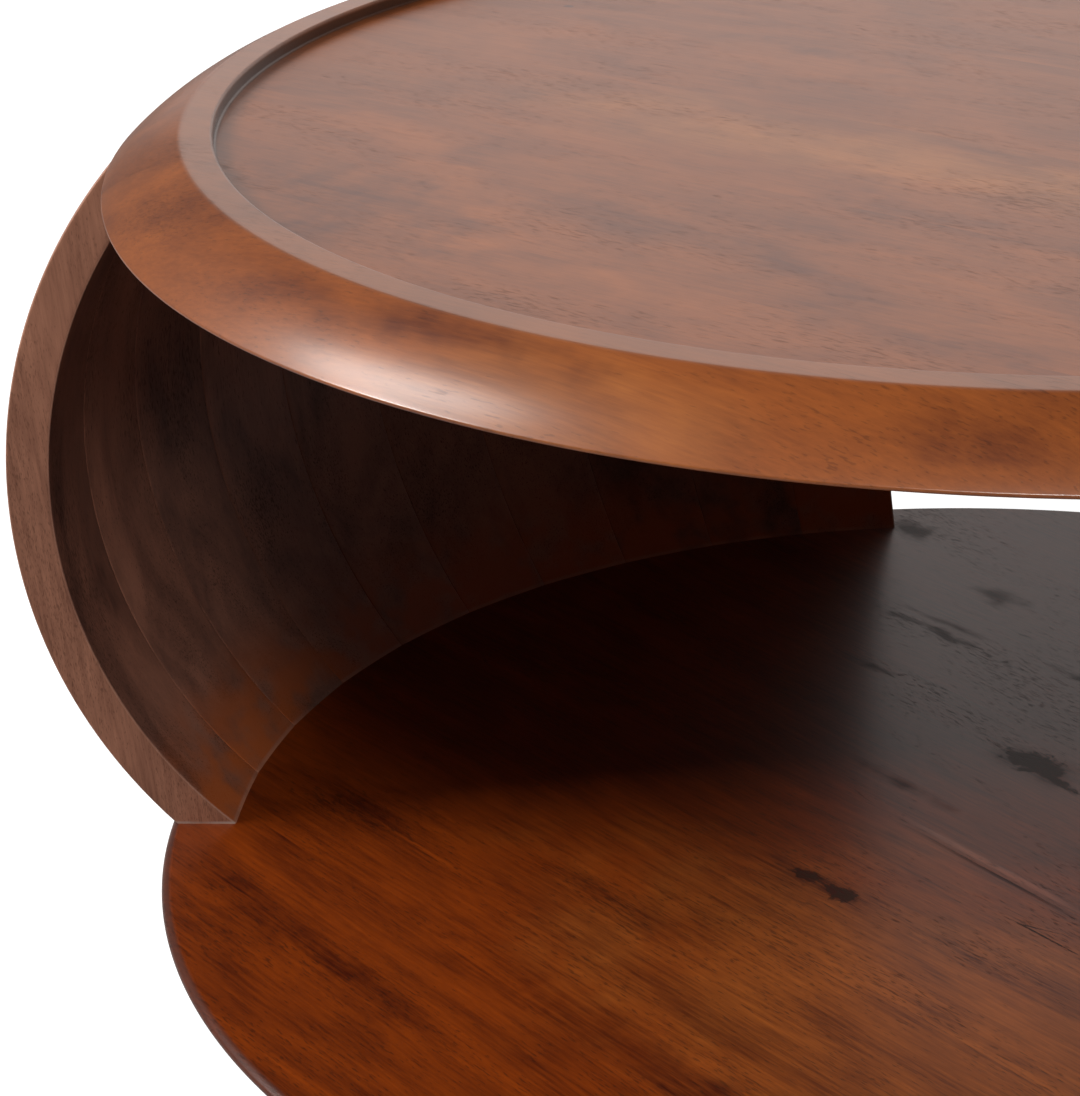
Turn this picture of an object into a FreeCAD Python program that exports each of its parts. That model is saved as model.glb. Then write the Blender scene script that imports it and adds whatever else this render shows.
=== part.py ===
import FreeCAD, Part
import math
import os

import Sketcher
from FreeCAD import Placement, Rotation, Vector

# Round drum table in solid wood. Two barrel-shaped walls of glued staves stand
# on a round base and carry a round top with a shallow turned recess. The walls
# face each other across the table and leave it open at the front and the back.
# X runs from wall to wall, Y through the openings, Z up from the floor, and the
# origin is on the floor under the middle. All lengths are in millimetres.

SIZES = (
    # top disc
    ("top_radius", 445.0),
    ("top_thick", 28.0),
    ("rim_width", 55.0),
    ("band_width", 16.0),
    ("recess_depth", 7.0),
    ("rim_arc", 125.0),
    # base disc
    ("base_setback", 4.0),
    ("base_thick", 28.0),
    ("base_undercut", 30.0),
    ("base_chamfer", 4.0),
    # walls
    ("wall_height", 362.0),
    ("wall_thick", 22.0),
    ("head_setback", 1.0),
    ("belly_swell", 66.0),
    ("belly_height", 185.0),
    ("staves_per_wall", 10),
    ("stave_angle", 8.45),
    # joints
    ("tongue_width", 20.0),
    ("tongue_thick", 6.0),
    ("tongue_stop", 60.0),
    ("tenon_width", 26.0),
    ("tenon_thick", 6.0),
    ("tenon_reach", 9.0),
    ("tenon_cover", 2.0),
    ("fit_gap", 0.1),
    ("staves_per_tenon", 3),
    ("tenons_per_wall", 4),
    # felt glides
    ("glide_radius", 15.0),
    ("glide_thick", 3.0),
    ("glide_inset", 26.0),
    ("glide_count", 6),
    # glue-up of the discs: the boards run about along X, turned a little
    ("top_grain_angle", 6.0),
    ("base_grain_angle", -8.0),
    # one overrun for every cut
    ("overrun", 5.0),
)

# Sizes that follow from the driving ones. A stave is flat across, so its foot,
# belly and head radius run to the middle of the flat, and its edges lie a little
# further out. Its outside is one arc through those 3 points.
WORKED = (
    ("recess_radius", "=top_radius - rim_width"),
    ("band_radius", "=recess_radius + band_width"),
    ("recess_floor", "=top_thick - recess_depth"),
    ("base_radius", "=top_radius - base_setback"),
    ("under_radius", "=base_radius - base_undercut"),
    ("base_edge_height", "=base_thick - base_chamfer"),
    ("base_face_radius", "=base_radius - base_chamfer"),
    ("flat_share", "=cos(stave_angle / 2 * 1 deg)"),
    ("foot_radius", "=base_face_radius * flat_share"),
    ("head_radius", "=(top_radius - head_setback) * flat_share"),
    ("belly_radius", "=(top_radius + belly_swell) * flat_share"),
    ("foot_sq", "=foot_radius ^ 2"),
    ("belly_sq", "=belly_radius ^ 2 + belly_height ^ 2"),
    ("head_sq", "=head_radius ^ 2 + wall_height ^ 2"),
    ("turn_area", "=2 * (foot_radius * (belly_height - wall_height) + belly_radius * wall_height"
                  " - head_radius * belly_height)"),
    ("arc_radius_at", "=(foot_sq * (belly_height - wall_height) + belly_sq * wall_height"
                      " - head_sq * belly_height) / turn_area"),
    ("arc_height_at", "=(foot_sq * (head_radius - belly_radius) + belly_sq * (foot_radius - head_radius)"
                      " + head_sq * (belly_radius - foot_radius)) / turn_area"),
    ("outer_arc", "=sqrt((foot_radius - arc_radius_at) ^ 2 + arc_height_at ^ 2)"),
    ("inner_arc", "=outer_arc - wall_thick"),
    ("hollow_top", "=wall_height + overrun"),
    ("hollow_span", "=wall_height + 2 * overrun"),
    ("hollow_foot_radius", "=arc_radius_at + sqrt(inner_arc ^ 2 - (arc_height_at + overrun) ^ 2)"),
    ("hollow_head_radius", "=arc_radius_at + sqrt(inner_arc ^ 2 - (hollow_top - arc_height_at) ^ 2)"),
    ("stave_blank", "=2 * belly_radius * tan(stave_angle / 2 * 1 deg) + 2 * overrun"),
    ("edge_reach", "=belly_radius / flat_share + overrun"),
    ("foot_tenon_near", "=arc_radius_at + sqrt(inner_arc ^ 2 - (arc_height_at - tenon_reach) ^ 2)"
                        " + tenon_cover"),
    ("head_tenon_near", "=arc_radius_at + sqrt(inner_arc ^ 2 - (wall_height - tenon_reach"
                        " - arc_height_at) ^ 2) + tenon_cover"),
    ("foot_tenon_far", "=foot_tenon_near + tenon_thick"),
    ("head_tenon_far", "=head_tenon_near + tenon_thick"),
    ("foot_mortise_near", "=foot_tenon_near - fit_gap"),
    ("head_mortise_near", "=head_tenon_near - fit_gap"),
    ("foot_mortise_far", "=foot_tenon_far + fit_gap"),
    ("head_mortise_far", "=head_tenon_far + fit_gap"),
    ("mortise_width", "=tenon_width + 2 * fit_gap"),
    ("mortise_depth", "=tenon_reach + fit_gap"),
    ("tenon_length", "=2 * tenon_reach"),
    ("tenon_start", "=-stave_angle * staves_per_tenon * (tenons_per_wall - 1) / 2"),
    ("tenon_sweep", "=stave_angle * staves_per_tenon * (tenons_per_wall - 1)"),
    ("glide_circle", "=under_radius - glide_inset"),
    ("shelf_height", "=glide_thick + base_thick"),
    ("top_height", "=shelf_height + wall_height"),
)

# Where the glued joints lie, as shares of the disc's radius on each side of the
# middle. The boards are of mixed widths, as sawn wood comes.
TOP_SEAM_SHARES = (-0.70, -0.41, -0.15, 0.16, 0.44, 0.72)
BASE_SEAM_SHARES = (-0.68, -0.38, -0.095, 0.20, 0.46, 0.71)

doc = FreeCAD.newDocument("drum_table")
sheet = doc.addObject("Spreadsheet::Sheet", "Sizes")
for row, (word, value) in enumerate(SIZES + WORKED, start=1):
    sheet.set(f"A{row}", word)
    sheet.set(f"B{row}", str(value))
    sheet.setAlias(f"B{row}", word)
doc.recompute()

kept = []


def size(word):
    """A size from the sheet; "zero" stands for the axis or the base plane."""
    return 0.0 if word == "zero" else float(sheet.get(word))


def keep(thing, label):
    """Marks a finished sub-part and gives it the name of its file."""
    thing.Label = label
    kept.append(thing)
    return thing


def new_body(name):
    return doc.addObject("PartDesign::Body", name)


def origin_part(body, role):
    return next(item for item in body.Origin.OriginFeatures if item.Role == role)


def new_sketch(body, name, plane, height=0.0, turn=0.0):
    """A sketch on one of the body's own planes, raised and turned on it."""
    sketch = body.newObject("Sketcher::SketchObject", name)
    sketch.AttachmentSupport = [(origin_part(body, plane), "")]
    sketch.MapMode = "FlatFace"
    sketch.AttachmentOffset = Placement(Vector(0, 0, height), Rotation(Vector(0, 0, 1), turn))
    return sketch


def bind(sketch, constraint, word):
    number = sketch.addConstraint(constraint)
    sketch.setExpression(f"Constraints[{number}]", f"Sizes.{word}")


def arc_between(start, end, radius):
    """The shorter arc from start to end, turning left round its centre."""
    along = end - start
    square = Vector(-along.y, along.x, 0).normalize()
    centre = (start + end) / 2 + square * math.sqrt(radius ** 2 - (along.Length / 2) ** 2)
    circle = Part.Circle(centre, Vector(0, 0, 1), radius)
    return Part.ArcOfCircle(circle, circle.parameter(start), circle.parameter(end))


def draw_outline(sketch, corners, arcs):
    """A closed outline, turning left, through corners given as pairs of size words.

    arcs gives the size word of the radius of each edge that isn't straight. An
    edge has the number of the corner that it starts from.
    """
    points = [Vector(size(across), size(up), 0) for across, up in corners]
    count = len(points)
    for edge in range(count):
        start, end = points[edge], points[(edge + 1) % count]
        if edge in arcs:
            sketch.addGeometry(arc_between(start, end, size(arcs[edge])))
        else:
            sketch.addGeometry(Part.LineSegment(start, end))
    for edge, (across, up) in enumerate(corners):
        sketch.addConstraint(Sketcher.Constraint("Coincident", edge, 2, (edge + 1) % count, 1))
        for kind, word, axis in (("DistanceX", across, -2), ("DistanceY", up, -1)):
            if word == "zero":
                sketch.addConstraint(Sketcher.Constraint("PointOnObject", edge, 1, axis))
            else:
                bind(sketch, Sketcher.Constraint(kind, -1, 1, edge, 1, size(word)), word)
    for edge, word in arcs.items():
        bind(sketch, Sketcher.Constraint("Radius", edge, size(word)), word)


def draw_slots(sketch, near, far, width, both_sides):
    """A slot across the sketch's X axis, and its twin beyond the middle."""
    for number, side in enumerate((1, -1) if both_sides else (1,)):
        inner, outer, half = side * size(near), side * size(far), size(width) / 2
        points = [Vector(inner, -half, 0), Vector(outer, -half, 0), Vector(outer, half, 0), Vector(inner, half, 0)]
        edges = [4 * number + edge for edge in range(4)]
        for corner, edge in enumerate(edges):
            sketch.addGeometry(Part.LineSegment(points[corner], points[(corner + 1) % 4]))
        for corner, edge in enumerate(edges):
            sketch.addConstraint(Sketcher.Constraint("Coincident", edge, 2, edges[(corner + 1) % 4], 1))
        for way, corner in (("Horizontal", 0), ("Horizontal", 2), ("Vertical", 3)):
            sketch.addConstraint(Sketcher.Constraint(way, edges[corner]))
        sketch.addConstraint(Sketcher.Constraint("Symmetric", edges[1], 1, edges[1], 2, -1))
        bind(sketch, Sketcher.Constraint("DistanceY", edges[1], 1, edges[1], 2, size(width)), width)
        for point, word in ((1, near), (2, far)):
            ends = (-1, 1, edges[0], point) if side > 0 else (edges[0], point, -1, 1)
            bind(sketch, Sketcher.Constraint("DistanceX", *ends, size(word)), word)


def revolve(body, sketch):
    """Turns the sketch all round the body's Z axis."""
    solid = body.newObject("PartDesign::Revolution", f"{sketch.Name}_turned")
    solid.Profile = sketch
    solid.ReferenceAxis = (sketch, ["V_Axis"])
    solid.Angle = 360
    return solid


def pad(body, sketch, word):
    """Thickens the sketch, half to each side of it."""
    solid = body.newObject("PartDesign::Pad", f"{sketch.Name}_pad")
    solid.Profile = sketch
    solid.Midplane = True
    solid.setExpression("Length", f"Sizes.{word}")
    return solid


def pocket(body, sketch, word, upwards=False, both_ways=False):
    """Cuts the sketch into the body, and proves that it took wood away."""
    doc.recompute()
    before = body.Shape.Volume
    cut = body.newObject("PartDesign::Pocket", f"{sketch.Name}_cut")
    cut.Profile = sketch
    cut.Midplane = both_ways
    cut.Reversed = upwards
    cut.setExpression("Length", f"Sizes.{word}")
    doc.recompute()
    assert body.Shape.Volume < before, f"{sketch.Name} cuts nothing"
    return cut


def pattern(body, feature, sweep, count):
    """Repeats a feature round the body's Z axis; sweep None is all round."""
    copies = body.newObject("PartDesign::PolarPattern", f"{feature.Name}_copies")
    copies.Originals = [feature]
    copies.Axis = (origin_part(body, "Z_Axis"), [""])
    copies.Angle = 360
    if sweep:
        copies.setExpression("Angle", f"Sizes.{sweep}")
    copies.setExpression("Occurrences", f"Sizes.{count}")
    body.Tip = copies
    return copies


def mirror(body, feature, role):
    """Repeats a feature beyond one of the body's own planes."""
    twin = body.newObject("PartDesign::Mirrored", f"{feature.Name}_twin")
    twin.Originals = [feature]
    twin.MirrorPlane = (origin_part(body, role), [""])
    body.Tip = twin


def lift(thing, word):
    """Raises a body from the origin by a size, kept in its placement."""
    thing.setExpression("Placement.Base.z", f"Sizes.{word}")


# Turned discs


def turned_top():
    """The whole top as it leaves the lathe, with the mortises for the walls."""
    body = new_body("turned_top")
    section = new_sketch(body, "top_section", "XZ_Plane")
    corners = (("zero", "zero"), ("top_radius", "zero"),
               ("band_radius", "top_thick"), ("recess_radius", "top_thick"),
               ("recess_radius", "recess_floor"), ("zero", "recess_floor"))
    draw_outline(section, corners, {1: "rim_arc"})
    revolve(body, section)
    slots = new_sketch(body, "head_mortises", "XY_Plane", turn=size("tenon_start"))
    draw_slots(slots, "head_mortise_near", "head_mortise_far", "mortise_width", both_sides=True)
    mortised = pocket(body, slots, "mortise_depth", upwards=True)
    pattern(body, mortised, "tenon_sweep", "tenons_per_wall")
    lift(body, "top_height")
    return body


def turned_base():
    """The whole base as it leaves the lathe, with the mortises for the walls."""
    body = new_body("turned_base")
    section = new_sketch(body, "base_section", "XZ_Plane")
    corners = (("zero", "zero"), ("under_radius", "zero"), ("base_radius", "base_edge_height"),
               ("base_face_radius", "base_thick"), ("zero", "base_thick"))
    draw_outline(section, corners, {})
    revolve(body, section)
    slots = new_sketch(body, "foot_mortises", "XY_Plane", height=size("base_thick"), turn=size("tenon_start"))
    draw_slots(slots, "foot_mortise_near", "foot_mortise_far", "mortise_width", both_sides=True)
    mortised = pocket(body, slots, "mortise_depth")
    pattern(body, mortised, "tenon_sweep", "tenons_per_wall")
    lift(body, "glide_thick")
    return body


# Boards and tongues of the discs


def strip(name, turn, low, high, reach, floor, thick):
    """A square-edged length of wood along X, turned about the middle.

    low and high are its edges, reach is half its length; all are expressions.
    """
    wood = doc.addObject("Part::Box", name)
    wood.Placement = Placement(Vector(0, 0, 0), Rotation(Vector(0, 0, 1), size(turn)))
    lean = f"Sizes.{turn} * 1 deg"
    wood.setExpression("Length", f"2 * ({reach})")
    wood.setExpression("Width", f"({high}) - ({low})")
    wood.setExpression("Height", thick)
    wood.setExpression("Placement.Base.x", f"-({reach}) * cos({lean}) - ({low}) * sin({lean})")
    wood.setExpression("Placement.Base.y", f"({low}) * cos({lean}) - ({reach}) * sin({lean})")
    wood.setExpression("Placement.Base.z", floor)
    return wood


def glue_up(name, disc, floor, solid_thick, seam_shares):
    """Splits a turned disc into its boards, with a loose tongue in each joint."""
    radius, turn, thick = f"Sizes.{name}_radius", f"{name}_grain_angle", f"Sizes.{name}_thick"
    seams = [f"{share} * {radius}" for share in seam_shares]
    tongue_floor = f"Sizes.{floor} + (Sizes.{solid_thick} - Sizes.tongue_thick) / 2"
    tongues = []
    for number, seam in enumerate(seams, start=1):
        half_chord = f"sqrt(({radius} - Sizes.tongue_stop) ^ 2 - ({seam}) ^ 2)"
        tongues.append(strip(f"{name}_tongue_{number}", turn, f"{seam} - Sizes.tongue_width / 2",
                             f"{seam} + Sizes.tongue_width / 2", half_chord, tongue_floor,
                             "Sizes.tongue_thick"))
    joined = doc.addObject("Part::Compound", f"{name}_tongues")
    joined.Links = tongues
    grooved = doc.addObject("Part::Cut", f"{name}_grooved")
    grooved.Base = disc
    grooved.Tool = joined
    reach = f"{radius} + Sizes.overrun"
    edges = [f"-({reach})"] + seams + [reach]
    for number, (low, high) in enumerate(zip(edges, edges[1:]), start=1):
        board = doc.addObject("Part::Common", f"{name}_board_{number}")
        board.Base = strip(f"{name}_plank_{number}", turn, low, high, reach,
                           f"Sizes.{floor} - Sizes.overrun", f"{thick} + 2 * Sizes.overrun")
        board.Tool = grooved
        keep(board, f"{name}_board_{number}")
    keep(joined, f"{name}_board_tongues")


# Walls


def stave(label, angle, tenoned):
    """One curved stave: flat across both faces, its edges planed to the radius."""
    body = new_body(label)
    outside = new_sketch(body, f"{label}_outside", "XZ_Plane")
    corners = (("arc_radius_at", "zero"), ("foot_radius", "zero"),
               ("head_radius", "wall_height"), ("arc_radius_at", "wall_height"))
    draw_outline(outside, corners, {1: "outer_arc"})
    pad(body, outside, "stave_blank")
    inside = new_sketch(body, f"{label}_inside", "XZ_Plane")
    inside.AttachmentOffset = Placement(Vector(0, -size("overrun"), 0), Rotation())
    inner_corners = (("zero", "zero"), ("hollow_foot_radius", "zero"),
                     ("hollow_head_radius", "hollow_span"), ("zero", "hollow_span"))
    draw_outline(inside, inner_corners, {1: "inner_arc"})
    pocket(body, inside, "belly_radius", both_ways=True)
    edge = new_sketch(body, f"{label}_edge", "XY_Plane", turn=size("stave_angle") / 2)
    edge_corners = (("zero", "zero"), ("edge_reach", "zero"),
                    ("edge_reach", "stave_blank"), ("zero", "stave_blank"))
    draw_outline(edge, edge_corners, {})
    planed = pocket(body, edge, "hollow_top", upwards=True)
    mirror(body, planed, "XZ_Plane")
    if tenoned:
        foot = new_sketch(body, f"{label}_foot_mortise", "XY_Plane")
        draw_slots(foot, "foot_mortise_near", "foot_mortise_far", "mortise_width", both_sides=False)
        pocket(body, foot, "mortise_depth", upwards=True)
        head = new_sketch(body, f"{label}_head_mortise", "XY_Plane", height=size("wall_height"))
        draw_slots(head, "head_mortise_near", "head_mortise_far", "mortise_width", both_sides=False)
        pocket(body, head, "mortise_depth")
    body.Placement = Placement(Vector(0, 0, size("shelf_height")), Rotation(Vector(0, 0, 1), angle))
    keep(body, label)


def walls():
    """Both walls. Every third stave, from the first to the last, has tenons."""
    count = int(size("staves_per_wall"))
    step = size("stave_angle")
    every = int(size("staves_per_tenon"))
    for side, facing in (("right", 0.0), ("left", 180.0)):
        for number in range(1, count + 1):
            angle = facing + (number - (count + 1) / 2) * step
            stave(f"{side}_stave_{number:02d}", angle, (number - 1) % every == 0)


# Loose tenons and glides


def tenons(end, height):
    """Loose tenons of both walls at one end, half in the disc, half in the wall."""
    body = new_body(f"{end}_tenons")
    slips = new_sketch(body, f"{end}_slips", "XY_Plane", turn=size("tenon_start"))
    draw_slots(slips, f"{end}_tenon_near", f"{end}_tenon_far", "tenon_width", both_sides=True)
    pattern(body, pad(body, slips, "tenon_length"), "tenon_sweep", "tenons_per_wall")
    lift(body, height)
    keep(body, f"{end}_tenons")


def glides():
    """Round felt glides stuck under the base, one drawn and the others round it."""
    body = new_body("foot_glides")
    section = new_sketch(body, "glide_section", "XZ_Plane")
    draw_outline(section, (("zero", "zero"), ("glide_radius", "zero"),
                           ("glide_radius", "glide_thick"), ("zero", "glide_thick")), {})
    section.AttachmentOffset = Placement(Vector(size("glide_circle"), 0, 0), Rotation())
    pattern(body, revolve(body, section), None, "glide_count")
    keep(body, "foot_glides")


def check_and_export():
    """Stops on any failed object, then writes one file per sub-part."""
    doc.recompute()
    for thing in doc.Objects:
        assert not {"Invalid", "Error"} & set(thing.State), f"{thing.Label}: {thing.State}"
    for thing in kept:
        assert not thing.Shape.isNull() and thing.Shape.isValid(), f"{thing.Label} is not valid"
    os.makedirs("parts", exist_ok=True)
    for thing in kept:
        thing.Shape.exportStep(f"parts/{thing.Label}.step")
        print(thing.Label, len(thing.Shape.Solids), round(thing.Shape.Volume / 1000, 2), "cm3")


glue_up("top", turned_top(), "top_height", "recess_floor", TOP_SEAM_SHARES)
glue_up("base", turned_base(), "glide_thick", "base_thick", BASE_SEAM_SHARES)
walls()
tenons("head", "top_height")
tenons("foot", "shelf_height")
glides()
check_and_export()
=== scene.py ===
import bmesh
import bpy
import math
import random
from collections import namedtuple
from mathutils import Matrix, Vector


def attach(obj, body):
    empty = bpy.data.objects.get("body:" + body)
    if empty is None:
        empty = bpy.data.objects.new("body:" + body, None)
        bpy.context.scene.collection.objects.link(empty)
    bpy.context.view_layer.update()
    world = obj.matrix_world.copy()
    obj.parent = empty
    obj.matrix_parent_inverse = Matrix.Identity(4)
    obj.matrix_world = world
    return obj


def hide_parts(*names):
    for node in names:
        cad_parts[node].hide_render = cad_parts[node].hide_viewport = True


# The looks of a round drum table: a turned top and a turned base of glued boards,
# and two barrel-shaped walls of staves. All lengths are in metres. X runs from
# wall to wall, Y through the openings and Z up from the floor.

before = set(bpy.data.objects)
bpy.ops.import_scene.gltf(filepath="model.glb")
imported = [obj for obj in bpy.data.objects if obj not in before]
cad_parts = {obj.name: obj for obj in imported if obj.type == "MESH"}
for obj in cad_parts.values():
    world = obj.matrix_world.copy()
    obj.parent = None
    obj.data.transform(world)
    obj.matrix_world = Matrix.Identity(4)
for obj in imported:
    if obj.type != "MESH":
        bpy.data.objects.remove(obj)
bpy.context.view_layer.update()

# Driving sizes, as in the CAD model
TOP_RADIUS = 0.445
BOARD = 0.028
RIM_WIDTH = 0.055
RIM_ARC = 0.125
BAND_WIDTH = 0.016
RECESS_DEPTH = 0.007
BASE_SETBACK = 0.004
BASE_CHAMFER = 0.004
BASE_UNDERCUT = 0.030
GLIDE = 0.003
WALL_HEIGHT = 0.362
WALL_THICK = 0.022
HEAD_SETBACK = 0.001
BELLY_SWELL = 0.066
BELLY_HEIGHT = 0.185
STAVES = 10
STAVE_ANGLE = 8.45

# Sizes of the discs that follow
RECESS_RADIUS = TOP_RADIUS - RIM_WIDTH
BAND_RADIUS = RECESS_RADIUS + BAND_WIDTH
BASE_RADIUS = TOP_RADIUS - BASE_SETBACK
BASE_FACE_RADIUS = BASE_RADIUS - BASE_CHAMFER
BASE_UNDER_RADIUS = BASE_RADIUS - BASE_UNDERCUT
SHELF = GLIDE + BOARD
BASE_EDGE = SHELF - BASE_CHAMFER
TOP_UNDER = SHELF + WALL_HEIGHT
TOP_UPPER = TOP_UNDER + BOARD
RECESS_FLOOR = TOP_UPPER - RECESS_DEPTH

# The boards run about along X, turned by degrees, between glued joints at these
# shares of the radius. Each board's pith lies about this far across from the middle.
TOP_TURN = 6.0
BASE_TURN = -8.0
TOP_SEAMS = (-0.70, -0.41, -0.15, 0.16, 0.44, 0.72)
BASE_SEAMS = (-0.68, -0.38, -0.095, 0.20, 0.46, 0.71)
TOP_PITHS = (-0.36, -0.25, -0.125, 0.0, 0.133, 0.258, 0.37)
BASE_PITHS = (-0.36, -0.234, -0.105, 0.023, 0.145, 0.258, 0.37)

# Ranges of the random draws: how far each board's pith strays across and lies under
# the disc, how the pith leans across and up, and where the grain starts
GRAIN_SEED = 7
PITH_STRAY = (-0.03, 0.03)
PITH_DEPTH = (0.02, 0.07)
LEAN_ACROSS = (-0.03, 0.03)
LEAN_UP = (-0.06, 0.06)
GRAIN_START = (2, 40)

# The same for the staves, with their pith outward of the wall, and a tone of their own
STAVE_PITH_ACROSS = (-0.05, 0.05)
STAVE_PITH_OUT = (-0.16, -0.05)
STAVE_LEAN_ACROSS = (-0.05, 0.05)
STAVE_LEAN_OUT = (-0.10, 0.10)
STAVE_TONE = (-0.5, 0.5)
STAVE_GRAIN_START = (2, 60)

# How finely the pieces are divided
TURNED_STEPS = 360
RIM_STEPS = 16
DISC_ROUND_STEPS = 6
STAVE_ROUND_STEPS = 4
STAVE_STEPS = 56

# Where the faces of a stave meet at more than this, their edge looks sharp
FACET = math.radians(28)

# Rings of points that keep the flat faces true up to their rounded edges
TOP_UNDER_RINGS = (0.20, 0.35, 0.43)
RECESS_RINGS = (0.37, 0.25, 0.12)
BASE_UNDER_RINGS = (0.20, 0.35)
SHELF_RINGS = (0.40, 0.25, 0.12)

# Rounds of the edges, and how far the band falls to its outer edge
TOP_EDGE_ROUND = 0.0022
BAND_OUTER_ROUND = 0.005
BAND_INNER_ROUND = 0.0016
RECESS_CORNER_ROUND = 0.0012
BASE_UNDER_ROUND = 0.003
BASE_EDGE_ROUND = 0.0028
SHELF_EDGE_ROUND = 0.006
BAND_FALL = 0.0005
FREE_ROUND = 0.0016
GLUED_INNER_ROUND = 0.0007
GLUED_OUTER_ROUND = 0.0004

# The inside of each stave is this much hollow across, smoothed by hand. The rows of
# points beside its corners are at these shares of its half width and its thickness.
HOLLOW = 0.0007
SHARES_ACROSS = (0.3, 0.6, 0.9)
SHARE_DEEP = 0.12

# A corner whose half angle is over NEARLY_STRAIGHT gets no round, and a round takes at
# most LONGEST_TRIM of each side. Points closer than WELD count as one in a saw cut.
NEARLY_STRAIGHT = 1.55
LONGEST_TRIM = 0.48
WELD = 1e-7


# Outlines


def rounded(points, radii, steps):
    """The polyline with a round at each inner point that has a radius."""
    result = [Vector(points[0])]
    for place in range(1, len(points) - 1):
        here = Vector(points[place])
        before, after = Vector(points[place - 1]) - here, Vector(points[place + 1]) - here
        half = before.angle(after) / 2
        if place not in radii or half > NEARLY_STRAIGHT:
            result.append(here)
            continue
        trim = min(radii[place] / math.tan(half), LONGEST_TRIM * before.length, LONGEST_TRIM * after.length)
        bisector = (before.normalized() + after.normalized()).normalized()
        centre = here + bisector * (trim / math.cos(half))
        start = here + before.normalized() * trim - centre
        end = here + after.normalized() * trim - centre
        first = math.atan2(start.y, start.x)
        sweep = math.atan2(start.x * end.y - start.y * end.x, start.dot(end))
        for step in range(steps + 1):
            turn = first + sweep * step / steps
            result.append(centre + Vector((math.cos(turn), math.sin(turn))) * start.length)
    result.append(Vector(points[-1]))
    return result


def arc_points(start, end, radius, count):
    """Points between start and end on the arc that turns left round its centre."""
    a, b = Vector(start), Vector(end)
    along = b - a
    square = Vector((-along.y, along.x)).normalized()
    centre = (a + b) / 2 + square * math.sqrt(radius ** 2 - along.length_squared / 4)
    first = math.atan2(a.y - centre.y, a.x - centre.x)
    sweep = 2 * math.asin(along.length / (2 * radius))
    angles = [first + sweep * step / count for step in range(1, count)]
    return [(centre.x + radius * math.cos(t), centre.y + radius * math.sin(t)) for t in angles]


def circle_through(a, b, c):
    """How far out and up the centre of the circle through three points lies, and its radius."""
    squares = [x * x + y * y for x, y in (a, b, c)]
    rises = (b[1] - c[1], c[1] - a[1], a[1] - b[1])
    runs = (c[0] - b[0], a[0] - c[0], b[0] - a[0])
    area = 2 * sum(point[0] * rise for point, rise in zip((a, b, c), rises))
    out = sum(square * rise for square, rise in zip(squares, rises)) / area
    up = sum(square * run for square, run in zip(squares, runs)) / area
    return out, up, math.hypot(a[0] - out, a[1] - up)


def outline_normals(points):
    """The outward normal at each point of a half section, drawn anticlockwise."""
    normals = []
    for place in range(len(points)):
        along = points[min(place + 1, len(points) - 1)] - points[max(place - 1, 0)]
        normals.append(Vector((along.y, -along.x)).normalized())
    return normals


def top_outline():
    """Half section of the top, from the middle of its underside round to the recess."""
    edge, corner = (TOP_RADIUS, TOP_UNDER), (BAND_RADIUS, TOP_UPPER - BAND_FALL)
    step, foot = (RECESS_RADIUS, TOP_UPPER), (RECESS_RADIUS, RECESS_FLOOR)
    # The points next to the rim's two ends leave room for the rounds there
    rim = arc_points(edge, corner, RIM_ARC, RIM_STEPS)[1:-2]
    points = [(0.0, TOP_UNDER), *[(ring, TOP_UNDER) for ring in TOP_UNDER_RINGS], edge, *rim, corner,
              step, foot, *[(ring, RECESS_FLOOR) for ring in RECESS_RINGS], (0.0, RECESS_FLOOR)]
    rounds = {edge: TOP_EDGE_ROUND, corner: BAND_OUTER_ROUND, step: BAND_INNER_ROUND,
              foot: RECESS_CORNER_ROUND}
    return rounded(points, {points.index(point): rounds[point] for point in rounds}, DISC_ROUND_STEPS)


def base_outline():
    """Half section of the base, from the middle of its underside round to the shelf."""
    under, edge = (BASE_UNDER_RADIUS, GLIDE), (BASE_RADIUS, BASE_EDGE)
    face = (BASE_FACE_RADIUS, SHELF)
    points = [(0.0, GLIDE), *[(ring, GLIDE) for ring in BASE_UNDER_RINGS], under, edge, face,
              *[(ring, SHELF) for ring in SHELF_RINGS], (0.0, SHELF)]
    rounds = {under: BASE_UNDER_ROUND, edge: BASE_EDGE_ROUND, face: SHELF_EDGE_ROUND}
    return rounded(points, {points.index(point): rounds[point] for point in rounds}, DISC_ROUND_STEPS)


# Pieces


def store(mesh, name, values):
    """Keeps one vector for each point of the mesh under this name."""
    attribute = mesh.attributes.new(name, "FLOAT_VECTOR", "POINT")
    attribute.data.foreach_set("vector", [number for value in values for number in value])


def new_piece(name, mesh, nodes):
    """Puts a finished mesh in the scene in place of its CAD node."""
    piece = bpy.data.objects.new(name, mesh)
    bpy.context.scene.collection.objects.link(piece)
    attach(piece, "root")
    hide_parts(*nodes)


# The turned top and base


def disc(outline):
    """A closed turned disc as a bmesh, with its exact normals in a layer."""
    shape = bmesh.new()
    layer = shape.verts.layers.float_vector.new("true_normal")
    rings = []
    for point, normal in zip(outline, outline_normals(outline)):
        if point.x == 0.0:
            vert = shape.verts.new((0, 0, point.y))
            vert[layer] = (0, 0, normal.y)
            rings.append([vert] * TURNED_STEPS)
            continue
        ring = []
        for step in range(TURNED_STEPS):
            turn = 2 * math.pi * step / TURNED_STEPS
            vert = shape.verts.new((point.x * math.cos(turn), point.x * math.sin(turn), point.y))
            vert[layer] = (normal.x * math.cos(turn), normal.x * math.sin(turn), normal.y)
            ring.append(vert)
        rings.append(ring)
    for lower, upper in zip(rings, rings[1:]):
        for step in range(TURNED_STEPS):
            after = (step + 1) % TURNED_STEPS
            corners = [lower[step], lower[after], upper[after], upper[step]]
            shape.faces.new(list(dict.fromkeys(corners)))
    return shape


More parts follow.
